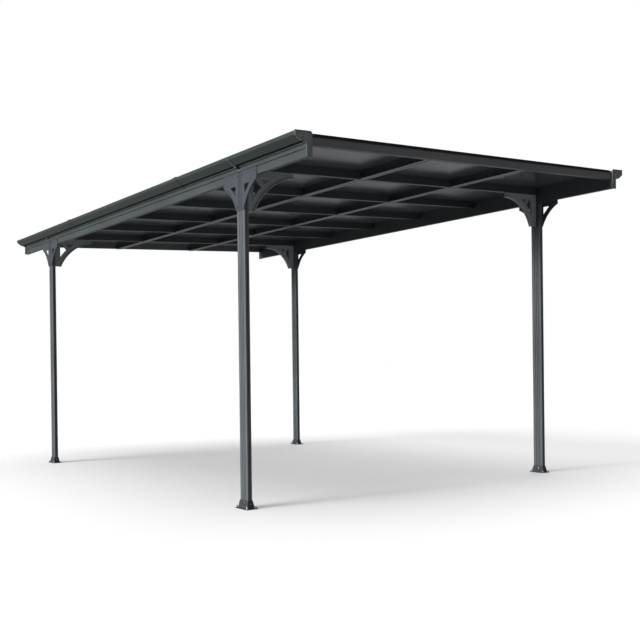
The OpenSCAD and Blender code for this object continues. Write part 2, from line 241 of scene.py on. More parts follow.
def mathNode(tree, operation, first, second=None, clamp=False):
    node = addNode(tree, "ShaderNodeMath", operation=operation, use_clamp=clamp)
    for socket, value in zip(node.inputs, (first, second)):
        if value is None:
            continue
        if isinstance(value, (int, float)):
            socket.default_value = value
        else:
            tree.links.new(value, socket)
    return node.outputs[0]


def rangeNode(tree, value, fromLow, fromHigh, toLow=0.0, toHigh=1.0):
    node = addNode(tree, "ShaderNodeMapRange", {
        "From Min": fromLow, "From Max": fromHigh, "To Min": toLow, "To Max": toHigh,
    })
    tree.links.new(value, node.inputs["Value"])
    return node.outputs["Result"]


def mixColour(tree, factor, first, second):
    # a colour mix names several sockets alike, so they are taken by place
    node = addNode(tree, "ShaderNodeMix", data_type="RGBA")
    for socket, value in zip((node.inputs[0], node.inputs[6], node.inputs[7]), (factor, first, second)):
        if isinstance(value, (int, float, tuple)):
            socket.default_value = value
        else:
            tree.links.new(value, socket)
    return node.outputs[2]


def noiseNode(tree, place, scale, detail, roughness):
    node = addNode(tree, "ShaderNodeTexNoise", {"Detail": detail, "Roughness": roughness})
    tree.links.new(place, node.inputs["Vector"])
    if isinstance(scale, (int, float)):
        node.inputs["Scale"].default_value = scale
    else:
        tree.links.new(scale, node.inputs["Scale"])
    return node.outputs["Fac"]


def stretched(tree, place, scale):
    node = addNode(tree, "ShaderNodeMapping", {"Scale": scale})
    tree.links.new(place, node.inputs["Vector"])
    return node.outputs["Vector"]


def makeGrainGroup():
    # fine orange-peel of a sprayed or moulded face, with a slower waviness under it
    group, ins, outs = newGroup(
        "coatGrain",
        [("Grain Scale", "NodeSocketFloat", 420.0), ("Fine", "NodeSocketFloat", 0.7)],
        [("Height", "NodeSocketFloat"), ("Mottle", "NodeSocketFloat")],
    )
    place = addNode(group, "ShaderNodeTexCoord").outputs["Object"]
    fine = noiseNode(group, place, ins.outputs["Grain Scale"], 2.0, 0.5)
    slow = noiseNode(group, place, 26.0, 2.0, 0.5)
    fineShare = mathNode(group, "MULTIPLY", fine, ins.outputs["Fine"])
    height = mathNode(group, "ADD", fineShare, mathNode(group, "MULTIPLY", slow, 0.35))
    mottle = noiseNode(group, place, 1.7, 4.0, 0.6)
    wire(group, (height, outs.inputs["Height"]), (mottle, outs.inputs["Mottle"]))
    return group


def makeDustGroup():
    # dust that settles on what faces up, in soft patches with fine specks
    group, ins, outs = newGroup(
        "settledDust",
        [("Amount", "NodeSocketFloat", 0.3), ("Patch Scale", "NodeSocketFloat", 3.0)],
        [("Mask", "NodeSocketFloat")],
    )
    place = addNode(group, "ShaderNodeTexCoord").outputs["Object"]
    facing = addNode(group, "ShaderNodeNewGeometry").outputs["Normal"]
    split = addNode(group, "ShaderNodeSeparateXYZ")
    wire(group, (facing, split.inputs[0]))
    upward = rangeNode(group, split.outputs["Z"], 0.35, 0.95)
    patches = noiseNode(group, place, ins.outputs["Patch Scale"], 5.0, 0.62)
    cloud = rangeNode(group, patches, 0.38, 0.72)
    specks = rangeNode(group, noiseNode(group, place, 260.0, 1.0, 0.4), 0.62, 0.72)
    both = mathNode(group, "ADD", cloud, mathNode(group, "MULTIPLY", specks, 0.5))
    lying = mathNode(group, "MULTIPLY", both, upward)
    mask = mathNode(group, "MULTIPLY", lying, ins.outputs["Amount"], clamp=True)
    wire(group, (mask, outs.inputs["Mask"]))
    return group


def makeEdgeGroup():
    # a mask along outer edges, broken up by noise, for rubbed and chipped coating
    group, ins, outs = newGroup(
        "rubbedEdge",
        [("Width", "NodeSocketFloat", 0.002), ("Amount", "NodeSocketFloat", 0.4)],
        [("Mask", "NodeSocketFloat")],
    )
    place = addNode(group, "ShaderNodeTexCoord").outputs["Object"]
    rounded = addNode(group, "ShaderNodeBevel", samples=4)
    wire(group, (ins.outputs["Width"], rounded.inputs["Radius"]))
    facing = addNode(group, "ShaderNodeNewGeometry").outputs["Normal"]
    compare = addNode(group, "ShaderNodeVectorMath", operation="DOT_PRODUCT")
    wire(group, (rounded.outputs["Normal"], compare.inputs[0]), (facing, compare.inputs[1]))
    bend = rangeNode(group, compare.outputs["Value"], 0.985, 0.80)
    breakup = rangeNode(group, noiseNode(group, place, 55.0, 4.0, 0.7), 0.35, 0.65)
    kept = mathNode(group, "MULTIPLY", bend, breakup)
    mask = mathNode(group, "MULTIPLY", kept, ins.outputs["Amount"], clamp=True)
    wire(group, (mask, outs.inputs["Mask"]))
    return group


def makeScratchGroup():
    # hairline scratches in two crossing directions
    group, ins, outs = newGroup(
        "hairlines",
        [("Amount", "NodeSocketFloat", 0.3), ("Scale", "NodeSocketFloat", 9.0)],
        [("Mask", "NodeSocketFloat")],
    )
    place = addNode(group, "ShaderNodeTexCoord").outputs["Object"]
    first = noiseNode(group, stretched(group, place, (1.0, 34.0, 34.0)), ins.outputs["Scale"], 2.0, 0.5)
    second = noiseNode(group, stretched(group, place, (28.0, 1.3, 28.0)), ins.outputs["Scale"], 2.0, 0.5)
    lengthwise = rangeNode(group, first, 0.66, 0.72)
    crosswise = rangeNode(group, second, 0.68, 0.74)
    lines = mathNode(group, "MAXIMUM", lengthwise, crosswise)
    mask = mathNode(group, "MULTIPLY", lines, ins.outputs["Amount"], clamp=True)
    wire(group, (mask, outs.inputs["Mask"]))
    return group


grainGroup = makeGrainGroup()
dustGroup = makeDustGroup()
edgeGroup = makeEdgeGroup()
scratchGroup = makeScratchGroup()
print("shader groups made")


def useGroup(tree, group, values):
    node = tree.nodes.new("ShaderNodeGroup")
    node.node_tree = group
    for key, value in values.items():
        node.inputs[key].default_value = value
    return node


def newMaterial(name, values):
    material = bpy.data.materials.new(name)
    material.use_nodes = True
    tree = material.node_tree
    tree.nodes.clear()
    output = addNode(tree, "ShaderNodeOutputMaterial")
    shader = addNode(tree, "ShaderNodeBsdfPrincipled", values)
    wire(tree, (shader.outputs[0], output.inputs["Surface"]))
    return material, tree, shader


def scaled(colour, gain, lift=0.0):
    return tuple(min(1.0, gain * c + lift) for c in colour) + (1.0,)


dustTint = (0.30, 0.285, 0.26, 1.0)
mottleSpan = (0.3, 0.7)      # what the slow noise of the grain mostly lies between

coatFinishes = {
    # grain is in waves to the metre and depth in metres; rub and dust are shares
    "frameCoat": {
        "base": (0.046, 0.055, 0.056), "rough": 0.42, "grain": 420.0, "depth": 0.00012,
        "rub": 0.30, "dust": 0.20,
    },
    # lighter copy of the frame coat: painted light on the posts, which wear the same paint as the beams
    "postLitCoat": {
        "base": (0.082, 0.092, 0.100), "rough": 0.40, "grain": 420.0, "depth": 0.00012,
        "rub": 0.20, "dust": 0.15,
    },
    # darker copy of the frame coat: painted shade on the gutters and their sleeves
    "gutterShadedCoat": {
        "base": (0.025, 0.032, 0.030), "rough": 0.46, "grain": 420.0, "depth": 0.00012,
        "rub": 0.30, "dust": 0.20,
    },
    # darker copy of the frame coat: painted shade on the rafters and cleats under the roof
    "paintedShadeCoat": {
        "base": (0.022, 0.026, 0.028), "rough": 0.42, "grain": 420.0, "depth": 0.00012,
        "rub": 0.20, "dust": 0.15,
    },
    # darker copy of the frame coat: painted shade on the purlins' flanks
    "purlinShadedCoat": {
        "base": (0.030, 0.036, 0.039), "rough": 0.34, "grain": 420.0, "depth": 0.00012,
        "rub": 0.60, "dust": 0.15,
    },
    # much lighter copy of the frame coat: painted light on the inner braces
    "braceLitCoat": {
        "base": (0.200, 0.226, 0.234), "rough": 0.46, "grain": 260.0, "depth": 0.00030,
        "rub": 0.60, "dust": 0.20,
    },
    # lighter copy of the frame coat: painted light on the fascias' front faces
    "fasciaLitCoat": {
        "base": (0.074, 0.079, 0.086), "rough": 0.44, "grain": 420.0, "depth": 0.00012,
        "rub": 0.25, "dust": 0.15,
    },
    "castCoat": {
        "base": (0.041, 0.048, 0.056), "rough": 0.48, "grain": 260.0, "depth": 0.00030,
        "rub": 0.40, "dust": 0.20,
    },
    "shoeCoat": {
        "base": (0.029, 0.034, 0.038), "rough": 0.48, "grain": 260.0, "depth": 0.00030,
        "rub": 0.40, "dust": 0.20,
    },
    "mouldedGrain": {
        "base": (0.115, 0.132, 0.140), "rough": 0.52, "grain": 620.0, "depth": 0.00022,
        "rub": 0.10, "dust": 0.25,
    },
}

coatWear = {
    "specular": 0.42,
    "mottle": (0.86, 1.14),      # darkest and lightest share of the base colour
    "rubbed": (2.6, 0.02),       # gain and lift of a rubbed edge's colour
    "roughSpread": 0.05,
    "dustRough": 0.35,
    "edgeRound": 0.0012,         # radius that every outer edge seems to have
    "bump": 0.6,
}


def coatMaterial(name):
    look = coatFinishes[name]
    material, tree, shader = newMaterial(name, {"Specular IOR Level": coatWear["specular"]})
    grain = useGroup(tree, grainGroup, {"Grain Scale": look["grain"]})
    dust = useGroup(tree, dustGroup, {"Amount": look["dust"]})
    edge = useGroup(tree, edgeGroup, {"Amount": look["rub"]})
    dim, lit = (scaled(look["base"], gain) for gain in coatWear["mottle"])
    toned = mixColour(tree, rangeNode(tree, grain.outputs["Mottle"], *mottleSpan), dim, lit)
    worn = mixColour(tree, edge.outputs["Mask"], toned, scaled(look["base"], *coatWear["rubbed"]))
    dusty = mixColour(tree, dust.outputs["Mask"], worn, dustTint)
    low, high = look["rough"] - coatWear["roughSpread"], look["rough"] + coatWear["roughSpread"]
    rough = rangeNode(tree, grain.outputs["Mottle"], *mottleSpan, low, high)
    dusted = mathNode(tree, "MULTIPLY", dust.outputs["Mask"], coatWear["dustRough"])
    rougher = mathNode(tree, "ADD", rough, dusted, clamp=True)
    rounded = addNode(tree, "ShaderNodeBevel", {"Radius": coatWear["edgeRound"]}, samples=4)
    bump = addNode(tree, "ShaderNodeBump", {"Strength": coatWear["bump"], "Distance": look["depth"]})
    wire(
        tree,
        (dusty, shader.inputs["Base Color"]),
        (rougher, shader.inputs["Roughness"]),
        (grain.outputs["Height"], bump.inputs["Height"]),
        (rounded.outputs["Normal"], bump.inputs["Normal"]),
        (bump.outputs["Normal"], shader.inputs["Normal"]),
    )
    return material


panelFinish = {
    # base and rib colours: the sheet's smoke tint, raised and blued as painted reflection of the pale
    # floor
    "base": (0.068, 0.083, 0.094),
    "rib": (0.088, 0.105, 0.118),
    "ribPitch": 0.011,           # width of one hollow chamber of the sheet
    "ribEdge": 0.80,             # how high on its wave a rib begins
    "ribHeight": 0.15,
    "specular": 0.50,
    "rough": (0.15, 0.27),
    "grain": (90.0, 0.2),        # waves to the metre, and the share of the fine ones
    "depth": 0.0002,
    "bump": 0.35,
    "hair": 0.25,
    "hairRough": 0.25,
    "dust": 0.10,
    "dustPatch": 1.2,
    "dustRough": 0.5,
}


def panelMaterial():
    look = panelFinish
    material, tree, shader = newMaterial("smokeAndSheenPanel", {"Specular IOR Level": look["specular"]})
    place = addNode(tree, "ShaderNodeTexCoord").outputs["Object"]
    split = addNode(tree, "ShaderNodeSeparateXYZ")
    wire(tree, (place, split.inputs[0]))
    turns = mathNode(tree, "MULTIPLY", split.outputs["Y"], 2 * math.pi / look["ribPitch"])
    wave = mathNode(tree, "COSINE", turns)
    rib = rangeNode(tree, wave, look["ribEdge"], 1.0)
    base = mixColour(tree, rib, look["base"] + (1.0,), look["rib"] + (1.0,))
    scale, fine = look["grain"]
    grain = useGroup(tree, grainGroup, {"Grain Scale": scale, "Fine": fine})
    dust = useGroup(tree, dustGroup, {"Amount": look["dust"], "Patch Scale": look["dustPatch"]})
    hair = useGroup(tree, scratchGroup, {"Amount": look["hair"]})
    dusty = mixColour(tree, dust.outputs["Mask"], base, dustTint)
    rough = rangeNode(tree, grain.outputs["Mottle"], *mottleSpan, *look["rough"])
    haired = mathNode(tree, "MULTIPLY", hair.outputs["Mask"], look["hairRough"])
    marked = mathNode(tree, "ADD", rough, haired)
    dusted = mathNode(tree, "MULTIPLY", dust.outputs["Mask"], look["dustRough"])
    rougher = mathNode(tree, "ADD", marked, dusted, clamp=True)
    ribbed = mathNode(tree, "MULTIPLY", wave, look["ribHeight"])
    height = mathNode(tree, "ADD", grain.outputs["Height"], ribbed)
    bump = addNode(tree, "ShaderNodeBump", {"Strength": look["bump"], "Distance": look["depth"]})
    wire(
        tree,
        (dusty, shader.inputs["Base Color"]),
        (rougher, shader.inputs["Roughness"]),
        (height, bump.inputs["Height"]),
        (bump.outputs["Normal"], shader.inputs["Normal"]),
    )
    return material


plainFinishes = {
    # grain is in waves to the metre and depth in metres; marks are scratches, as a share
    # pale metal strips along the purlins' flange edges: painted highlight
    "paintedHighlightEdge": {
        "base": (0.55, 0.57, 0.58), "metal": 0.4, "rough": 0.34,
        "grain": 300.0, "depth": 0.00008, "marks": 0.5,
    },
    "blackRubber": {
        "base": (0.006, 0.006, 0.007), "metal": 0.0, "rough": 0.62,
        "grain": 700.0, "depth": 0.0001, "marks": 0.15,
    },
    "boltSteel": {
        "base": (0.62, 0.63, 0.64), "metal": 1.0, "rough": 0.32,
        "grain": 900.0, "depth": 0.00006, "marks": 0.6,
    },
    "zincSteel": {
        "base": (0.42, 0.43, 0.44), "metal": 0.9, "rough": 0.46,
        "grain": 180.0, "depth": 0.00012, "marks": 0.4,
    },
    "darkScrew": {
        "base": (0.050, 0.056, 0.062), "metal": 0.5, "rough": 0.44,
        "grain": 900.0, "depth": 0.00006, "marks": 0.5,
    },
}

plainWear = {
    "specular": (0.20, 0.50),    # of rubber, and of metal
    "dust": (0.06, 0.2),
    "dustPatch": 30.0,
    "mottle": (0.8, 1.2),
    "scratched": 1.5,            # gain of a scratch's colour
    "scratchScale": 40.0,
    "roughSpread": 0.08,
    "bump": 0.5,
}


def plainMaterial(name):
    look = plainFinishes[name]
    isMetal = look["metal"] > 0.0
    material, tree, shader = newMaterial(name, {
        "Metallic": look["metal"], "Specular IOR Level": plainWear["specular"][isMetal],
    })
    grain = useGroup(tree, grainGroup, {"Grain Scale": look["grain"]})
    hair = useGroup(tree, scratchGroup, {"Amount": look["marks"], "Scale": plainWear["scratchScale"]})
    dust = useGroup(tree, dustGroup, {
        "Amount": plainWear["dust"][isMetal], "Patch Scale": plainWear["dustPatch"],
    })
    dim, lit = (scaled(look["base"], gain) for gain in plainWear["mottle"])
    toned = mixColour(tree, rangeNode(tree, grain.outputs["Mottle"], *mottleSpan), dim, lit)
    marked = mixColour(tree, hair.outputs["Mask"], toned, scaled(look["base"], plainWear["scratched"]))
    dusty = mixColour(tree, dust.outputs["Mask"], marked, dustTint)
    low, high = look["rough"] - plainWear["roughSpread"], look["rough"] + plainWear["roughSpread"]
    rough = rangeNode(tree, grain.outputs["Height"], 0.2, 0.8, low, high)
    bump = addNode(tree, "ShaderNodeBump", {"Strength": plainWear["bump"], "Distance": look["depth"]})
    wire(
        tree,
        (dusty, shader.inputs["Base Color"]),
        (rough, shader.inputs["Roughness"]),
        (grain.outputs["Height"], bump.inputs["Height"]),
        (bump.outputs["Normal"], shader.inputs["Normal"]),
    )
    return material


coats = {name: coatMaterial(name) for name in coatFinishes}
plains = {name: plainMaterial(name) for name in plainFinishes}
smokeAndSheenPanel = panelMaterial()
print("materials made:", len(bpy.data.materials))

# finishes of the frame's own nodes

nodeFinishes = (
    ("rafter_", coats["paintedShadeCoat"]), ("purlins_", coats["purlinShadedCoat"]), ("panel_", smokeAndSheenPanel),
    ("front_fascia", coats["fasciaLitCoat"]), ("rear_fascia", coats["fasciaLitCoat"]),
    ("front_trim", plains["blackRubber"]), ("rear_trim", plains["blackRubber"]),
    ("bracket_", coats["castCoat"]), ("brace_", coats["braceLitCoat"]), ("foot_", coats["shoeCoat"]),
    ("gutter_clips", coats["castCoat"]), ("gutter_", coats["gutterShadedCoat"]), ("post_", coats["postLitCoat"]),
    ("cap_", coats["mouldedGrain"]), ("", coats["frameCoat"]),
)


def dressNodes():
    for name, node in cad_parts.items():
        finish = next(material for start, material in nodeFinishes if name.startswith(start))
        node.data.materials.clear()
        node.data.materials.append(finish)


dressNodes()
print("nodes dressed")

# small fixings, each turned from a profile of (radius, height), or (radius, height, 6) for a hexagon

fixings = {
    "panScrew": (
        (0.0060, 0.0), (0.0060, 0.0012), (0.0050, 0.0026), (0.0032, 0.0032), (0.0022, 0.0032, 6),
        (0.0022, 0.0014, 6),
    ),
    "smallScrew": (
        (0.0042, 0.0), (0.0042, 0.0009), (0.0034, 0.0021), (0.0021, 0.0026), (0.0015, 0.0026, 6),
        (0.0015, 0.0010, 6),
    ),
    "footBolt": (
        (0.0062, 0.0), (0.0062, 0.0012), (0.0056, 0.0013), (0.0056, 0.0036), (0.0046, 0.0050),
        (0.0028, 0.0054), (0.0024, 0.0054, 6), (0.0024, 0.0026, 6),
    ),
    "footPin": (
        (0.0044, 0.0), (0.0044, 0.0030), (0.0036, 0.0042), (0.0021, 0.0045), (0.0017, 0.0045, 6),
        (0.0017, 0.0022, 6),
    ),
    "anchor": (
        (0.0080, 0.0), (0.0080, 0.0016), (0.0071, 0.0017), (0.0068, 0.0022, 6), (0.0068, 0.0076, 6),
        (0.0062, 0.0084), (0.0040, 0.0085), (0.0040, 0.0138), (0.0033, 0.0146),
    ),
    "roofScrew": (
        (0.0080, 0.0), (0.0078, 0.0014), (0.0060, 0.0024), (0.0050, 0.0025), (0.0048, 0.0026, 6),
        (0.0048, 0.0066, 6), (0.0040, 0.0074, 6),
    ),
}


def makeFixings(name, kind, spots, material):
    bm = bmesh.new()
    for axis, point in spots:
        turn = Matrix.Rotation(draw.uniform(0.0, math.pi / 3), 4, "Z")
        addLathe(bm, fixings[kind], along(axis, point) @ turn)
    makePiece(bm, name, material, smooth=35)


# side brackets

bracketSet = {
    "plate": 0.005,
    "armSpots": (0.082, 0.176),      # screws along an arm, from the post's middle line
    "armHeight": 0.024,
    "postSpots": (-0.168, -0.104, 0.024),
    "postSide": 0.0325,
    "fluteWidth": 0.0042,
    "flutes": (-0.017, 0.0, 0.017),
    "shadeDepth": (-0.0005, 0.0003),      # depth of a flute's shade strip, from the bracket's face
    "drop": 0.193,
    "top": 0.046,
}


def bracketSpots():
    spots = []
    for side, end in corners:
        x = side * (innerX + postThick + bracketSet["plate"])
        for hand in (-1, 1):
            for reach in bracketSet["armSpots"]:
                y = end * postY + hand * reach
                spots.append(((side, 0, 0), (x, y, beamZ(side) + bracketSet["armHeight"])))
            for height in bracketSet["postSpots"]:
                y = end * postY + hand * bracketSet["postSide"]
                spots.append(((side, 0, 0), (x, y, beamZ(side) + height)))
    return spots


def makeBracketFluteShades():
    # the post's flutes carry on over the middle of each bracket as fine dark strips of painted shade
    bm = bmesh.new()
    half = bracketSet["fluteWidth"] / 2
    low, high = -bracketSet["drop"], bracketSet["top"]
    near, far = (postThick + bracketSet["plate"] + depth for depth in bracketSet["shadeDepth"])
    for side, end in corners:
        place = sideFrame(side, end * postY)
        for y in bracketSet["flutes"]:
            addBlock(bm, (near, y - half, low), (far, y + half, high), place)
    makePiece(bm, "bracketFluteShades", plains["blackRubber"])


makeFixings("bracketScrews", "panScrew", bracketSpots(), coats["castCoat"])
makeBracketFluteShades()
print("brackets fitted")

# inner braces

braceSet = {
    "web": 0.008,
    "spots": ((0.030, -0.158), (0.030, -0.080), (0.030, 0.010), (0.030, 0.048)),
    "tipReach": (0.230, 0.335),
    "tipDrop": 0.016,
}


def braceSpots():
    spots = []
    for side, end in corners:
        places = list(braceSet["spots"])
        for u in braceSet["tipReach"]:
            places.append((u, rafterLow.z - beamZ(-1) - side * slope * u - braceSet["tipDrop"]))
        for u, v in places:
            for face in (-1, 1):
                point = (side * (innerX - u), end * postY + face * braceSet["web"] / 2, beamZ(side) + v)
                spots.append(((0, face, 0), point))
    return spots


makeFixings("braceScrews", "panScrew", braceSpots(), coats["braceLitCoat"])
print("braces fitted")

# feet: dark sheets of painted shade and bolts in the arched windows, and anchors through the base plates

footSet = {
    "plateTop": 0.005,
    "sill": 0.029,               # height of the bottom of the windows
    "wideArch": 0.0136,          # radius of the painted-shade sheet in a wide flank
    "narrowArch": 0.0076,
    "wideBolt": 0.036,           # height of the bolt in a wide flank
    "narrowBolt": 0.0325,
    "shadeThick": 0.0004,
    "archSteps": 14,
    "anchorX": 0.0325,
    "anchorY": 0.0625,
}


def postFaces():
    # a frame on each face of each post: local x along the face, y up, z outward
    for side, end in corners:
        middle = Vector((side * (innerX + postThick / 2), end * postY, 0))
        for wide, axis in ((True, (1, 0, 0)), (True, (-1, 0, 0)), (False, (0, 1, 0)), (False, (0, -1, 0))):
            outward = Vector(axis)
            across = Vector((0, 0, 1)).cross(outward)
            face = (postThick if wide else postWide) / 2
            turned = Matrix((across, (0, 0, 1), outward)).transposed().to_4x4()
            yield wide, outward, Matrix.Translation(middle + outward * face) @ turned


def makeFootWindows():
    shadeSheets = bmesh.new()
    wideSpots = []
    narrowSpots = []
    lift = footSet["shadeThick"]
    for wide, outward, place in postFaces():
        radius = footSet["wideArch" if wide else "narrowArch"]
        arch = arcPoints((0.0, footSet["sill"]), radius, 0.0, 180.0, footSet["archSteps"])
        # a thin black sheet over the post's face in each window: painted shade of the recess
        addPrism(shadeSheets, arch, 0.0, lift, place)
        height = footSet["wideBolt" if wide else "narrowBolt"]
        spots = wideSpots if wide else narrowSpots
        spots.append((outward, place @ Vector((0, height, lift))))
    makePiece(shadeSheets, "footWindowShades", plains["blackRubber"])
    makeFixings("footBolts", "footBolt", wideSpots, plains["boltSteel"])
    makeFixings("footPins", "footPin", narrowSpots, plains["boltSteel"])


def anchorSpots():
    spots = []
    for side, end in corners:
        for sx in (-1, 1):
            for sy in (-1, 1):
                x = side * (innerX + postThick / 2) + sx * footSet["anchorX"]
                y = end * postY + sy * footSet["anchorY"]
                spots.append(((0, 0, 1), (x, y, footSet["plateTop"])))
    return spots


makeFootWindows()
makeFixings("anchors", "anchor", anchorSpots(), plains["zincSteel"])
print("feet fitted")

# posts: a dark strip of painted shade at the bottom of every flute

postSet = {
    "flutes": (-0.017, 0.0, 0.017),
    "fluteWidth": 0.0046,
    "depth": (-0.0010, -0.0006),    # of the shade strip, from the post's face
    "clear": 0.195,                 # what bracket and brace cover below the beam
    "gap": 0.001,                   # from the top of a shade strip to the beam
    "sunk": 0.004,                  # how far a shade strip reaches down into the shoe
}


def makePostFluteShades():
    bm = bmesh.new()
    half = postSet["fluteWidth"] / 2
    low, high = postSet["depth"]
    for wide, outward, place in postFaces():
        side = 1 if place.translation.x > 0 else -1
        top = beamZ(side) - postSet["gap"]
        for x in postSet["flutes"] if wide else (0.0,):
            hidden = wide and x == 0.0
            stop = top - postSet["clear"] if hidden else top
            addBlock(bm, (x - half, shoeTop - postSet["sunk"], low), (x + half, stop, high), place)
    makePiece(bm, "postFluteShades", plains["blackRubber"])


makePostFluteShades()
print("posts inlaid")

# gutters: clips' screws, joiner sleeves and beam seams

gutterSet = {
    "middle": (0.084, 0.115),      # of its round, out from the beam's inner face and up
    "radius": 0.035,
    "slant": 35.0,                 # of its flat outer bottom, in degrees from level
    "cut": 0.012,                  # how much that flat cuts off the round
    "lip": 0.135,
    "joints": (-1.03, 1.03),
    "sleeve": 0.046,               # width of a joiner sleeve
    "sleeveThick": 0.0016,
    "sleeveGap": 0.0002,
    "sleeveStart": -160.0,         # where a sleeve begins on the round, in degrees
    "sleeveTurn": 0.0072,          # how far it laps over the lip
    "bead": (0.0007, 0.002),       # rise and half width of its raised edges
    "seam": 0.0022,
    "seamDepth": (0.0003, -0.0006),
    "tabFace": (0.0425, 0.0575),
    "tabScrews": (-0.007, 0.007),
    "beam": (
        # out from the beam's inner face and up, along its stepped outer face
        (0.0, 0.0), (0.030, 0.0), (0.030, 0.048), (0.040, 0.048), (0.040, 0.070), (0.037, 0.070),
        (0.037, 0.073), (0.049, 0.073), (0.049, 0.112),
    ),
}


def alongRoof(side, y=0.0):
    # a frame whose x runs outward, y up and z along the roof
    return sideFrame(side, y) @ Matrix(((1, 0, 0, 0), (0, 0, 1, 0), (0, 1, 0, 0), (0, 0, 0, 1)))


def gutterRound(radius, start):
    # the gutter's underside from the angle start to its outer side, with the slanted flat
    flat = gutterSet["slant"] - 90.0
    spread = math.degrees(math.acos(1.0 - gutterSet["cut"] / radius))
    middle = gutterSet["middle"]
    path = arcPoints(middle, radius, start, flat - spread, 7)
    return path + arcPoints(middle, radius, flat + spread, 0.0, 2)


def sleevePath():
    reach = gutterSet["radius"] + gutterSet["sleeveGap"]
    lip = gutterSet["lip"] + gutterSet["sleeveGap"]
    outer = gutterSet["middle"][0] + reach
    path = gutterRound(reach, gutterSet["sleeveStart"])
    return path + [(outer, lip), (outer - gutterSet["sleeveTurn"], lip)]


def makeGutterJoints():
    sleeves = bmesh.new()
    seams = bmesh.new()
    inner = sleevePath()
    outer = offsetPath(inner, gutterSet["sleeveThick"])
    rise, beadHalf = gutterSet["bead"]
    bead = offsetPath(inner, gutterSet["sleeveThick"] + rise)
    proud, sunk = (offsetPath(gutterSet["beam"], depth) for depth in gutterSet["seamDepth"])
    for side in (-1, 1):
        for y in gutterSet["joints"]:
            place = alongRoof(side, y)
            half = gutterSet["sleeve"] / 2
            addBand(sleeves, outer, inner, -half, half, place, closed=False)
            for edge in (-half, half):
                addBand(sleeves, bead, inner, edge - beadHalf, edge + beadHalf, place, closed=False)
            half = gutterSet["seam"] / 2
            addBand(seams, proud, sunk, -half, half, place, closed=False)
    makePiece(sleeves, "gutterSleeves", coats["gutterShadedCoat"], smooth=35)
    makePiece(seams, "beamSeams", plains["blackRubber"])


def clipSpots():
    u, v = gutterSet["tabFace"]
    return [
        ((side, 0, 0), sideFrame(side, end * postY) @ Vector((u, y, v)))
        for side, end in corners for y in gutterSet["tabScrews"]
    ]


makeGutterJoints()
makeFixings("clipScrews", "smallScrew", clipSpots(), plains["boltSteel"])
print("gutters fitted")

# end caps: a raised outline, ribs, a ring at the gutter and three screws

capSet = {
    "lap": 0.002,
    "top": 0.144,                  # height of the inner top corner
    "cornerRadius": 0.016,
    "lipRadius": 0.006,
    "rim": (0.0022, 0.0066),       # raised outline, from and to, in from the edge
    "rise": 0.0022,
    "sunk": 0.001,                 # how deep the raised parts start below the face
    "roundStart": -118.0,          # where the gutter's round meets the beam, in degrees
    "ribs": (0.0095, 0.0205),
    "ribWidth": 0.0026,
    "ribSpan": (0.012, 0.126),
    "ribStep": 0.0004,             # how much lower the ribs are than the outline
    "ring": (0.0215, 0.0175),
    "screws": ((0.015, 0.006), (0.0645, 0.104), (0.015, 0.134)),
}


def capOutline(side):
    lap, corner, lip = capSet["lap"], capSet["cornerRadius"], capSet["lipRadius"]
    reach = gutterSet["middle"][0] + gutterSet["radius"] + lap
    outerTop = capSet["top"] + side * slope * (reach + lap)
    (u1, v1), (u2, v2) = gutterSet["beam"][4], gutterSet["beam"][7]
    outline = [(-lap, -lap), (u1 + lap, -lap), (u1 + lap, v1), (u2 + lap, v2)]
    outline += gutterRound(gutterSet["radius"] + lap, capSet["roundStart"])
    outline += arcPoints((reach - lip, outerTop - lip), lip, 0, 90, 5)
    return outline + arcPoints((corner - lap, capSet["top"] - corner), corner, 90, 180, 8)


def makeCapParts():
    bm = bmesh.new()
    spots = []
    low, high = capFaceY - capSet["sunk"], capFaceY + capSet["rise"]
    half = capSet["ribWidth"] / 2
    foot, top = capSet["ribSpan"]
    rings = [arcPoints(gutterSet["middle"], radius, 0, 350, 35) for radius in capSet["ring"]]
    for side, end in corners:
        place = alongRoof(side) @ Matrix.Diagonal((1, 1, end, 1))
        edges = [offsetPath(capOutline(side), -inset, closed=True) for inset in capSet["rim"]]
        addBand(bm, *edges, low, high, place)
        for u in capSet["ribs"]:
            addBlock(bm, (u - half, foot, low), (u + half, top, high - capSet["ribStep"]), place)
        addBand(bm, *rings, low, high, place)
        spots += [((0, end, 0), place @ Vector((u, v, capFaceY))) for u, v in capSet["screws"]]
    makePiece(bm, "capParts", coats["mouldedGrain"], smooth=35, bevel=0.0005)
    makeFixings("capScrews", "smallScrew", spots, plains["darkScrew"])


makeCapParts()
print("caps fitted")

# roof: cleats at the ends of purlins and rafters, seen from below

cleatSet = {
    "purlinX": 0.440,
    "webHalf": 0.020,
    "rafterHalf": 0.018,
    "thick": 0.002,
    "leg": 0.024,
    "span": (0.008, 0.040),        # up from the underside of the rafters
    "fasciaDrop": 0.008,
    "screwReach": 0.62,            # along a leg, as a share of it
    "screwLifts": (-0.008, 0.008),
    "beamGap": 0.001,
}


def addCleat(bm, spots, corner, alongX, alongY, low, high):
    # two legs from an inner corner, each with screws; alongX and alongY give the free directions
    x, y = corner
    thick, leg = cleatSet["thick"], cleatSet["leg"]
    for reachX, reachY in ((leg, thick), (thick, leg)):
        x0, x1 = sorted((x, x + alongX * reachX))
        y0, y1 = sorted((y, y + alongY * reachY))
        addBlock(bm, (x0, y0, low), (x1, y1, high), roofFrame)
    middle = (low + high) / 2
    far = cleatSet["screwReach"] * leg
    turned = roofFrame.to_3x3()
    for lift in cleatSet["screwLifts"]:
        point = Vector((x + alongX * far, y + alongY * thick, middle + lift))
        spots.append((turned @ Vector((0, alongY, 0)), roofFrame @ point))
    point = Vector((x + alongX * thick, y + alongY * far, middle))
    spots.append((turned @ Vector((alongX, 0, 0)), roofFrame @ point))


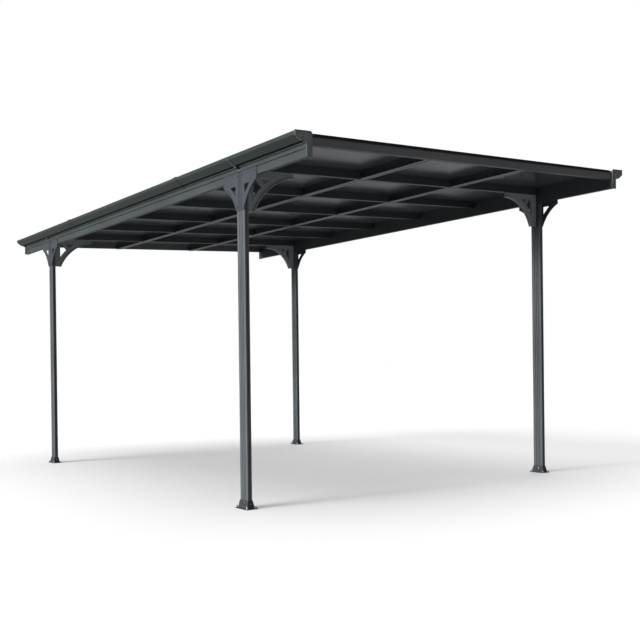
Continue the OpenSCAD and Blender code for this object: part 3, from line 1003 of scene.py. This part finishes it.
def makeCleats():
    bm = bmesh.new()
    spots = []
    half = cleatSet["rafterHalf"]
    low, high = cleatSet["span"]
    for first, second in zip(barYs, barYs[1:]):
        for y, alongY in ((first + half, 1), (second - half, -1)):
            raised = cleatSet["fasciaDrop"] if second == barYs[-1] and alongY < 0 else 0.0
            for side in (-1, 1):
                for hand in (-1, 1):
                    x = side * cleatSet["purlinX"] + hand * cleatSet["webHalf"]
                    addCleat(bm, spots, (x, y), hand, alongY, low + raised, high)
                inner = innerX * math.cos(pitch) - cleatSet["beamGap"]
                addCleat(bm, spots, (side * inner, y), -side, alongY, low + raised, high)
    makePiece(bm, "cleats", coats["paintedShadeCoat"], bevel=0.0004)
    makeFixings("cleatScrews", "smallScrew", spots, plains["darkScrew"])


makeCleats()
print("cleats made")

# roof: painted highlights along the feet of the purlins, and black strips of painted shade under the edge
# trims

purlinSet = {
    "flangeHalf": 0.029,
    "flangeThick": 0.004,
    "edge": 0.0032,              # width of the painted highlight strip
    "proud": 0.0003,
    "skin": (0.0008, 0.0004),    # thickness of the highlight strip, on the side and below
    "topGap": 0.0006,
    "endGap": 0.001,
}

# black strips on the fascias' faces under the edge trims: painted shade of the gap there
trimShadeSet = {
    "face": 0.018,           # outer face of a fascia, from the middle of its bar
    "proud": 0.0022,
    "heights": (0.0480, 0.0546),
}


def makePurlinHighlights():
    bm = bmesh.new()
    proud = purlinSet["proud"]
    flank, under = purlinSet["skin"]
    top = purlinSet["flangeThick"] - purlinSet["topGap"]
    inset = cleatSet["rafterHalf"] + purlinSet["endGap"]
    for first, second in zip(barYs, barYs[1:]):
        for side in (-1, 1):
            for hand in (-1, 1):
                outer = side * cleatSet["purlinX"] + hand * (purlinSet["flangeHalf"] + proud)
                for width, low, high in ((purlinSet["edge"], -proud, under), (flank, under, top)):
                    x0, x1 = sorted((outer, outer - hand * width))
                    addBlock(bm, (x0, first + inset, low), (x1, second - inset, high), roofFrame)
    makePiece(bm, "purlinHighlights", plains["paintedHighlightEdge"])


def makeTrimShadeStrips():
    bm = bmesh.new()
    low, high = trimShadeSet["heights"]
    reach = (innerX - capSet["cornerRadius"]) / math.cos(pitch)
    for end in (-1, 1):
        face = end * (barYs[-1] + trimShadeSet["face"])
        y0, y1 = sorted((face, face + end * trimShadeSet["proud"]))
        addBlock(bm, (-reach, y0, low), (reach, y1, high), roofFrame)
    makePiece(bm, "trimShadeStrips", plains["blackRubber"])


makePurlinHighlights()
makeTrimShadeStrips()
print("purlins and trims edged")

# roof: closers on the panels' ends, gaskets, screws and stops of the glazing bars

roofSet = {
    "panel": 0.006,
    "closer": (0.014, 0.0010),     # depth over the sheet, and thickness
    "bar": (0.056, 0.004),
    "gasket": (0.0034, 0.0030),    # width and height
    "screwStep": 0.36,
    "stop": (0.003, 0.001),        # thickness, and rise over the bar
}


def makePanelClosers():
    bm = bmesh.new()
    depth, thick = roofSet["closer"]
    low = rafterHeight
    high = low + roofSet["panel"]
    plates = ((-depth, high, high + thick), (-depth, low - thick, low), (0.0, low, high))
    for i in range(1, 8):
        near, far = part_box("panel_%d" % i)
        for side in (-1, 1):
            for start, z0, z1 in plates:
                x0, x1 = sorted((side * (panelReach + thick), side * (panelReach + start)))
                addBlock(bm, (x0, near.y, z0), (x1, far.y, z1), roofFrame)
    makePiece(bm, "panelClosers", coats["frameCoat"])


def makeBarParts():
    gaskets = bmesh.new()
    stops = bmesh.new()
    spots = []
    width, thick = roofSet["bar"]
    gasketWidth, gasketHeight = roofSet["gasket"]
    stopThick, stopRise = roofSet["stop"]
    base = rafterHeight + roofSet["panel"]
    top = base + thick + stopRise
    up = roofFrame.to_3x3() @ Vector((0, 0, 1))
    count = int(2 * panelReach / roofSet["screwStep"])
    for y in rafterYs:
        for hand in (-1, 1):
            y0, y1 = sorted((y + hand * width / 2, y + hand * (width / 2 + gasketWidth)))
            addBlock(gaskets, (-panelReach, y0, base), (panelReach, y1, base + gasketHeight), roofFrame)
        for side in (-1, 1):
            x0, x1 = sorted((side * panelReach, side * (panelReach + stopThick)))
            addBlock(stops, (x0, y - width / 2, rafterHeight), (x1, y + width / 2, top), roofFrame)
        for k in range(count + 1):
            x = (k - count / 2) * roofSet["screwStep"]
            spots.append((up, roofFrame @ Vector((x, y, base + thick))))
    makePiece(gaskets, "barGaskets", plains["blackRubber"])
    makePiece(stops, "barStops", coats["mouldedGrain"], bevel=0.0006)
    makeFixings("roofScrews", "roofScrew", spots, plains["zincSteel"])


makePanelClosers()
makeBarParts()
print("roof fitted")

# studio

studioSet = {
    "floorSize": 120.0,
    "floorTone": (0.92, 0.92, 0.925),
    "floorGlow": 0.10,      # keeps the carport's own shadow pale
    "floorBounce": 0.34,    # share of that tone which the floor throws back up
    "roomLight": 0.15,      # what the pale room gives from every side
    "backTone": 1.0,        # how bright the room looks behind the carport
    "suns": {
        # direction the light comes from, softness in degrees, strength
        "keySun": ((-1.0, 0.04, 0.62), 34.0, 1.7),
        "sideSun": ((-1.0, 0.06, 0.07), 10.0, 4.0),
        "frontSun": ((-0.1, -1.0, -0.30), 24.0, 0.26),
        "farSun": ((1.0, 0.5, 0.22), 60.0, 0.8),
        "topSun": ((0.0, 0.0, 1.0), 60.0, 1.5),
    },
}


def addFloor():
    size = studioSet["floorSize"] / 2
    bm = bmesh.new()
    ends = ((-size, -size), (size, -size), (size, size), (-size, size))
    bm.faces.new([bm.verts.new((x, y, 0)) for x, y in ends])
    mesh = bpy.data.meshes.new("floor")
    bm.to_mesh(mesh)
    bm.free()
    floor = bpy.data.objects.new("floor", mesh)
    floor.visible_shadow = False      # so that the front light can reach the roof from below
    scene.collection.objects.link(floor)
    material, tree, shader = newMaterial("paleFloor", {
        "Roughness": 0.9, "Specular IOR Level": 0.0, "Emission Color": (1.0, 1.0, 1.0, 1.0),
    })
    seen = addNode(tree, "ShaderNodeLightPath").outputs["Is Camera Ray"]
    thrown = scaled(studioSet["floorTone"], studioSet["floorBounce"])
    tone = mixColour(tree, seen, thrown, studioSet["floorTone"] + (1.0,))
    glow = mathNode(tree, "MULTIPLY", seen, studioSet["floorGlow"])
    wire(tree, (tone, shader.inputs["Base Color"]), (glow, shader.inputs["Emission Strength"]))
    mesh.materials.append(material)


def addRoom():
    world = bpy.data.worlds.new("room")
    world.use_nodes = True
    tree = world.node_tree
    tree.nodes.clear()
    seen = addNode(tree, "ShaderNodeLightPath").outputs["Is Camera Ray"]
    strength = rangeNode(tree, seen, 0.0, 1.0, studioSet["roomLight"], studioSet["backTone"])
    light = addNode(tree, "ShaderNodeBackground", {"Color": (1.0, 1.0, 1.0, 1.0)})
    output = addNode(tree, "ShaderNodeOutputWorld")
    wire(tree, (strength, light.inputs["Strength"]), (light.outputs[0], output.inputs["Surface"]))
    scene.world = world
    scene.view_settings.view_transform = "Standard"


def addSuns():
    for name, (direction, softness, strength) in studioSet["suns"].items():
        data = bpy.data.lights.new(name, "SUN")
        data.energy = strength
        data.angle = math.radians(softness)
        lamp = bpy.data.objects.new(name, data)
        lamp.matrix_world = along(direction, (0, 0, 0))
        scene.collection.objects.link(lamp)


addFloor()
addRoom()
addSuns()
print("studio set")
